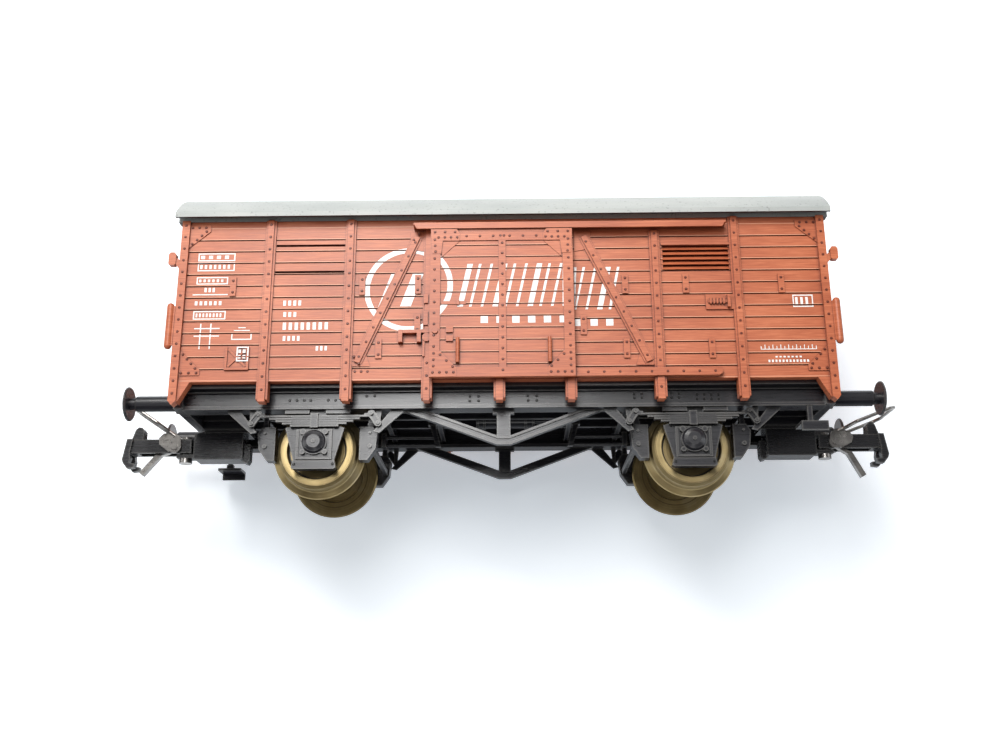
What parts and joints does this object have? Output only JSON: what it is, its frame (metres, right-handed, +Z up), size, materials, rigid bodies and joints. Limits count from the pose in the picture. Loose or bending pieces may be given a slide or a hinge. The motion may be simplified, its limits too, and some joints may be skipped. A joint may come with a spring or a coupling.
{
  "type": "model goods wagon",
  "caption": "Model covered goods wagon with a planked body, sliding doors, arched roof, disc wheels, buffers and loop couplers.",
  "frame": {"origin": "under the middle of the wagon, on the plane that the wheel flanges touch", "axes": "+X along the wagon, +Y across it, +Z up through the roof"},
  "size_m": [0.1127, 0.0354, 0.0454],
  "materials": {
    "body_red": "satin moulded",
    "roof_grey": "satin",
    "floor_grey": "matte",
    "ballast_steel": "plain sheet",
    "frame_black": "satin moulded",
    "coupler_black": "satin",
    "wheel_metal": "turned",
    "axle_steel": "turned",
    "bush_plastic": "matte",
    "loop_steel": "blackened wire"
  },
  "bodies": {
    "wagon": {"axle_guard_front_far": "frame_black", "axle_guard_front_near": "frame_black", "axle_guard_rear_far": "frame_black", "axle_guard_rear_near": "frame_black", "ballast_plate": "ballast_steel", "body_shell": "body_red", "brake_cylinder": "frame_black", "brake_hangers_front": "frame_black", "brake_hangers_rear": "frame_black", "brake_levers": "frame_black", "brake_shoes_front": "frame_black", "brake_shoes_rear": "frame_black", "buffer_front_far": "frame_black", "buffer_front_near": "frame_black", "buffer_rear_far": "frame_black", "buffer_rear_near": "frame_black", "corner_grab_rails": "body_red", "coupler_pocket_left": "coupler_black", "coupler_pocket_right": "coupler_black", "coupler_rivet_left": "loop_steel", "coupler_rivet_right": "loop_steel", "floor_insert": "floor_grey", "lamp_irons": "body_red", "leaf_spring_front_far": "frame_black", "leaf_spring_front_near": "frame_black", "leaf_spring_rear_far": "frame_black", "leaf_spring_rear_near": "frame_black", "roof": "roof_grey", "spring_hangers_far": "frame_black", "spring_hangers_near": "frame_black", "step_far": "frame_black", "step_near": "frame_black", "truss_far": "frame_black", "truss_near": "frame_black", "underframe": "frame_black"},
    "door_near": {"door_near": "body_red"},
    "door_far": {"door_far": "body_red"},
    "wheelset_front": {"axle_front": "axle_steel", "wheel_bushes_front": "bush_plastic", "wheel_front_near": "wheel_metal", "wheel_front_far": "wheel_metal"},
    "wheelset_rear": {"axle_rear": "axle_steel", "wheel_bushes_rear": "bush_plastic", "wheel_rear_near": "wheel_metal", "wheel_rear_far": "wheel_metal"},
    "coupler_left": {"coupler_shank_left": "coupler_black"},
    "loop_left": {"coupler_loop_left": "loop_steel", "coupler_lever_left": "loop_steel", "loop_pin_left": "loop_steel"},
    "coupler_right": {"coupler_shank_right": "coupler_black"},
    "loop_right": {"coupler_loop_right": "loop_steel", "coupler_lever_right": "loop_steel", "loop_pin_right": "loop_steel"}
  },
  "joints": [
    {"name": "door_near_slide", "type": "slide", "parent": "wagon", "child": "door_near", "axis": [1, 0, 0], "range_m": [0, 0.018]},
    {"name": "door_far_slide", "type": "slide", "parent": "wagon", "child": "door_far", "axis": [-1, 0, 0], "range_m": [0, 0.018]},
    {"name": "wheelset_front_spin", "type": "hinge", "parent": "wagon", "child": "wheelset_front", "pos_m": [-0.02585, 0, 0.00645], "axis": [0, 1, 0], "continuous": true},
    {"name": "wheelset_rear_spin", "type": "hinge", "parent": "wagon", "child": "wheelset_rear", "pos_m": [0.02585, 0, 0.00645], "axis": [0, 1, 0], "continuous": true},
    {"name": "coupler_left_swing", "type": "hinge", "parent": "wagon", "child": "coupler_left", "pos_m": [-0.0469, 0, 0.0094], "axis": [0, 0, 1], "range_deg": [-12, 12]},
    {"name": "loop_left_lift", "type": "hinge", "parent": "coupler_left", "child": "loop_left", "pos_m": [-0.0482, 0, 0.0091], "axis": [0, 1, 0], "range_deg": [-34, 14]},
    {"name": "coupler_right_swing", "type": "hinge", "parent": "wagon", "child": "coupler_right", "pos_m": [0.0469, 0, 0.0094], "axis": [0, 0, 1], "range_deg": [-12, 12]},
    {"name": "loop_right_lift", "type": "hinge", "parent": "coupler_right", "child": "loop_right", "pos_m": [0.0482, 0, 0.0091], "axis": [0, -1, 0], "range_deg": [-21, 27]}
  ]
}
